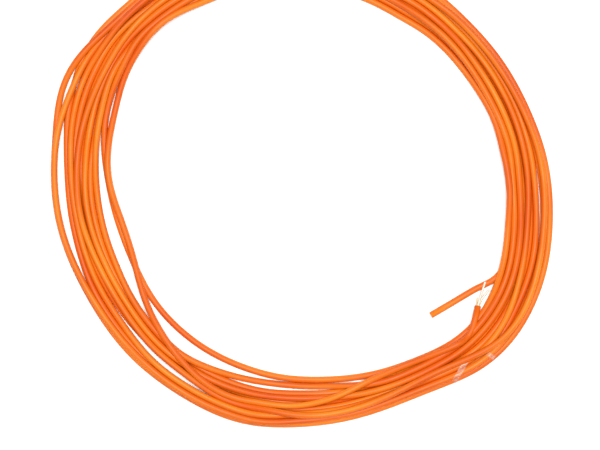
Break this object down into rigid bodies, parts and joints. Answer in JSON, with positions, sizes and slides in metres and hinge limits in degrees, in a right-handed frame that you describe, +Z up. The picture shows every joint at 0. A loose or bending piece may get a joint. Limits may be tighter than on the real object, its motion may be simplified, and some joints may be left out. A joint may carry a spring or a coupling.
{
  "type": "fiber optic cord coil",
  "caption": "Loose flat coil of round orange two-fibre optical cord held by a clear tie, one end cut square and one end stripped to its buffered fibres.",
  "frame": {"origin": "centre of the base of the bounding box, on the surface that the coil lies on", "axes": "+Z up, the coil's flat axis; the coil lies in XY with the tie and both cord ends at +X -Y"},
  "size_m": [0.2359, 0.2272, 0.0085],
  "materials": {
    "jacket_orange": "extruded PVC, satin",
    "clear_film": "clear polyester film",
    "aramid_yarn": "untwisted aramid filaments",
    "buffer_natural": "natural translucent tight buffer",
    "fibre_coating": "clear acrylate coating",
    "silica_glass": "drawn silica, cleaved"
  },
  "bodies": {
    "root": {"coil": "jacket_orange", "tie": "clear_film", "cut_end_jacket": "jacket_orange", "cut_end_yarn": "aramid_yarn", "cut_end_buffer_a": "buffer_natural", "cut_end_buffer_b": "buffer_natural", "cut_end_coating_a": "fibre_coating", "cut_end_coating_b": "fibre_coating", "cut_end_fibre_a": "silica_glass", "cut_end_fibre_b": "silica_glass", "stripped_end_jacket": "jacket_orange", "stripped_end_yarn": "aramid_yarn", "stripped_end_buffer_a": "buffer_natural", "stripped_end_buffer_b": "buffer_natural", "stripped_end_coating_a": "fibre_coating", "stripped_end_coating_b": "fibre_coating", "stripped_end_fibre_a": "silica_glass", "stripped_end_fibre_b": "silica_glass"}
  },
  "joints": []
}
